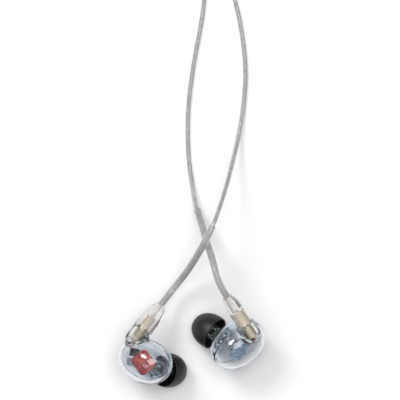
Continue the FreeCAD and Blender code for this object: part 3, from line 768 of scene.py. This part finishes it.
def carrier(side):
    """Moulded block over the drivers, with ribs, a step and the sound port."""
    m = side.mirror

    def field(x, y, z):
        plate = np.maximum(np.maximum(np.abs(x) - 4.0, np.abs(y) - 3.7), np.abs(z) - 1.1)
        bevel = (np.abs(x) + np.abs(y) - 6.7) * 0.707
        slopes = np.maximum(z * 0.95 + 0.28 * x * m - 1.15, z * 0.94 - 0.30 * y - 1.15)
        slopes = np.maximum(slopes, z * 0.96 + 0.24 * y - 0.14 * x * m - 1.05)
        plate = smooth_max(plate, np.maximum(bevel, slopes), 0.2)
        dome = np.maximum(np.hypot(x * m + 1.9, y - 1.5) - 1.35, np.abs(z - 0.1) - 1.05)
        ramp = np.maximum(np.maximum(np.abs(x * m - 1.5) - 1.5, np.abs(y + 0.4) - 2.5),
                          z * 0.8 - 0.92 + 0.25 * np.abs(y + 0.4))
        ramp = np.maximum(ramp, -z - 0.5)
        body = smooth_min(smooth_min(plate, dome, 0.3), ramp, 0.25)
        port = np.hypot(x * m + 1.9, y - 1.5) - 0.55
        slot = np.maximum(np.abs(x * m - 0.1) - 0.22, np.abs(y + 1.6) - 1.0)
        return smooth_max(smooth_max(body, -port, 0.15), -slot, 0.15)

    colour, slot = (RED, "red_carrier") if side.name == "right" else (NAVY, "blue_carrier")
    at = side.place((1.0 * m, -0.5, 3.2), math.radians(-28 * m))
    turn = np.array(at.to_3x3())
    origin = np.array(at.translation) / MM
    mesh = net_mesh(side.name + "_port_block", field, (-4.4, -4.1, -1.6), (4.4, 4.1, 1.6),
                    CARRIER_STEP, turn, origin)
    piece = add(mesh.name, mesh, colour, side.name + "_earpiece")
    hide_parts(side.name + "_driver_carrier")


def board(side):
    m = side.mirror
    at = side.place((-5.0 * m, 1.3, 0.6), math.radians(12 * m))
    mesh = blocks(side.name + "_filter_board", [((0, 0, 0), (4.2, 3.0, 0.42))], at)
    piece = bevelled(add(mesh.name, mesh, BOARD, side.name + "_earpiece"), 0.08)
    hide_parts(side.name + "_crossover_board")
    chips = [((-1.2, 0.6, 0.5), (0.8, 1.2, 0.55)), ((0.2, 0.7, 0.42), (1.0, 0.5, 0.4)),
             ((1.3, -0.4, 0.45), (0.6, 1.0, 0.45)), ((-0.4, -0.8, 0.4), (1.2, 0.5, 0.38))]
    parts = blocks(side.name + "_board_parts", chips, at)
    bevelled(add(parts.name, parts, CHIP, side.name + "_earpiece"), 0.06)


def dress(name, made):
    """Gives a carried-over CAD node its material."""
    data = nodes[name].data
    data.materials.clear()
    data.materials.append(made)


DRESSED = {
    "nozzle": NOZZLE, "nozzle_damper": DAMPER, "nozzle_mesh": MESH, "socket_barrel": GOLD,
    "socket_insulator": INSULATOR, "socket_contact": GOLD, "sound_duct": DUCT, "wiring": WIRE,
    "plug_shell": GOLD, "plug_insulator": INSULATOR, "plug_pin": GOLD, "snap_ring": GOLD,
}
CABLE_DRESSED = {
    "chin_slider": GREY, "splitter": GREY, "splitter_relief": GREY, "plug_relief": DARK,
    "plug_housing": DARK, "plug_sleeve_contact": GOLD, "plug_ring_contact": GOLD,
    "plug_tip_contact": GOLD, "plug_insulators": DARK,
}

for side in SIDES:
    ear_cord(side)
    shells(side)
    boot(side)
    ear_tip(side)
    driver(side, "woofer", (6.6, 3.2, 3.6), (-3.2 * side.mirror, -2.5, -0.1),
           math.radians(8 * side.mirror))
    driver(side, "tweeter", (5.0, 2.7, 2.8), (1.9 * side.mirror, 1.4, -0.3),
           math.radians(-20 * side.mirror))
    carrier(side)
    board(side)
    for part, made in DRESSED.items():
        dress(side.name + "_" + part, made)
main_cord()
for part, made in CABLE_DRESSED.items():
    dress(part, made)


# ---------------------------------------------------------------- floor, light and camera

FLOOR_HALF, FLOOR_DROP = 2.5, 0.00002


def floor():
    mesh = bpy.data.meshes.new("floor")
    corners = [(FLOOR_HALF * x, FLOOR_HALF * y, 0) for x, y in ((-1, -1), (1, -1), (1, 1), (-1, 1))]
    mesh.from_pydata(corners, [], [(0, 1, 2, 3)])
    made = shader("floor", (0.9, 0.9, 0.9), 0.9)
    tint(made, grain(made, 3.0), (0.895, 0.895, 0.9), (0.905, 0.905, 0.905))
    mesh.materials.append(made)
    sheet = bpy.data.objects.new("floor", mesh)
    bpy.context.scene.collection.objects.link(sheet)
    sheet.location.z = -FLOOR_DROP


def lamp(name, place, target, width, power):
    data = bpy.data.lights.new(name, "AREA")
    data.shape = "DISK"
    data.size = width
    data.energy = power
    made = bpy.data.objects.new(name, data)
    made.location = place
    made.rotation_euler = (Vector(target) - Vector(place)).to_track_quat("-Z", "Y").to_euler()
    bpy.context.scene.collection.objects.link(made)


def surroundings():
    """A pale room: bright above, and darker towards the horizon, which clear parts show at their
    edges."""
    world = bpy.data.worlds.new("room")
    bpy.context.scene.world = world
    world.use_nodes = True
    tree = world.node_tree
    where = tree.nodes.new("ShaderNodeTexCoord")
    split = tree.nodes.new("ShaderNodeSeparateXYZ")
    ramp = tree.nodes.new("ShaderNodeValToRGB")
    stops = ramp.color_ramp.elements
    stops[0].position, stops[0].color = 0.0, (0.03, 0.035, 0.045, 1)
    stops[1].position, stops[1].color = 0.78, (1.0, 1.0, 1.0, 1)
    stops.new(0.25).color = (0.10, 0.11, 0.13, 1)
    stops.new(0.45).color = (0.50, 0.51, 0.54, 1)
    tree.links.new(where.outputs["Generated"], split.inputs["Vector"])
    tree.links.new(split.outputs["Z"], ramp.inputs["Fac"])
    back = tree.nodes["Background"]
    tree.links.new(ramp.outputs["Color"], back.inputs["Color"])
    back.inputs["Strength"].default_value = 0.75


CAMERA_AT = (0.0033, 0.0543, 1.5)
VIEW_ACROSS = 0.156


def camera():
    """Straight down on the earpieces, with VIEW_ACROSS metres of floor across the view."""
    data = bpy.data.cameras.new("camera")
    data.sensor_width = 36
    data.lens = data.sensor_width * CAMERA_AT[2] / VIEW_ACROSS
    made = bpy.data.objects.new("camera", data)
    made.location = CAMERA_AT
    bpy.context.scene.collection.objects.link(made)
    bpy.context.scene.camera = made


floor()
lamp("key", (-0.45, 0.55, 0.9), (0.0, 0.02, 0.0), 0.4, 4.6)
lamp("top", (0.1, 0.2, 1.3), (0.0, 0.05, 0.0), 0.7, 6.0)
surroundings()
camera()
bpy.context.scene.view_settings.view_transform = "Standard"
